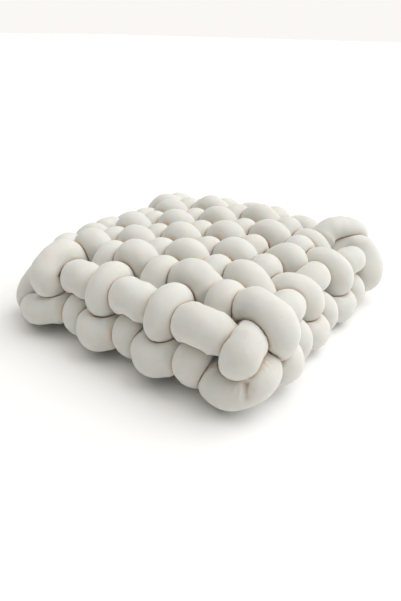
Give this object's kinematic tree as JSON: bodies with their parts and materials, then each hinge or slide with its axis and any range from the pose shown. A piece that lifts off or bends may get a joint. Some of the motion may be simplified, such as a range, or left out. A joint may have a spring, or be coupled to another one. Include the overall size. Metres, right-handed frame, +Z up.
{
  "type": "knot cushion",
  "caption": "Square floor cushion woven from fat plush-covered stuffed tubes that pass over and under each other and turn back round the edges",
  "frame": {"origin": "middle of the cushion's footprint, on the floor it rests on", "axes": "+Z up through the thickness, X along one direction of tubes and Y along the other"},
  "size_m": [0.5802, 0.5958, 0.1708],
  "materials": {
    "cream_plush": "matt short-pile cream plush"
  },
  "bodies": {
    "root": {"tube_along_1": "cream_plush", "tube_along_2": "cream_plush", "tube_along_3": "cream_plush", "tube_along_4": "cream_plush", "tube_along_5": "cream_plush", "tube_along_6": "cream_plush", "tube_along_7": "cream_plush", "tube_along_8": "cream_plush", "tube_across_1": "cream_plush", "tube_across_2": "cream_plush", "tube_across_3": "cream_plush", "tube_across_4": "cream_plush", "tube_across_5": "cream_plush", "tube_across_6": "cream_plush", "tube_across_7": "cream_plush", "tube_across_8": "cream_plush"}
  },
  "joints": []
}
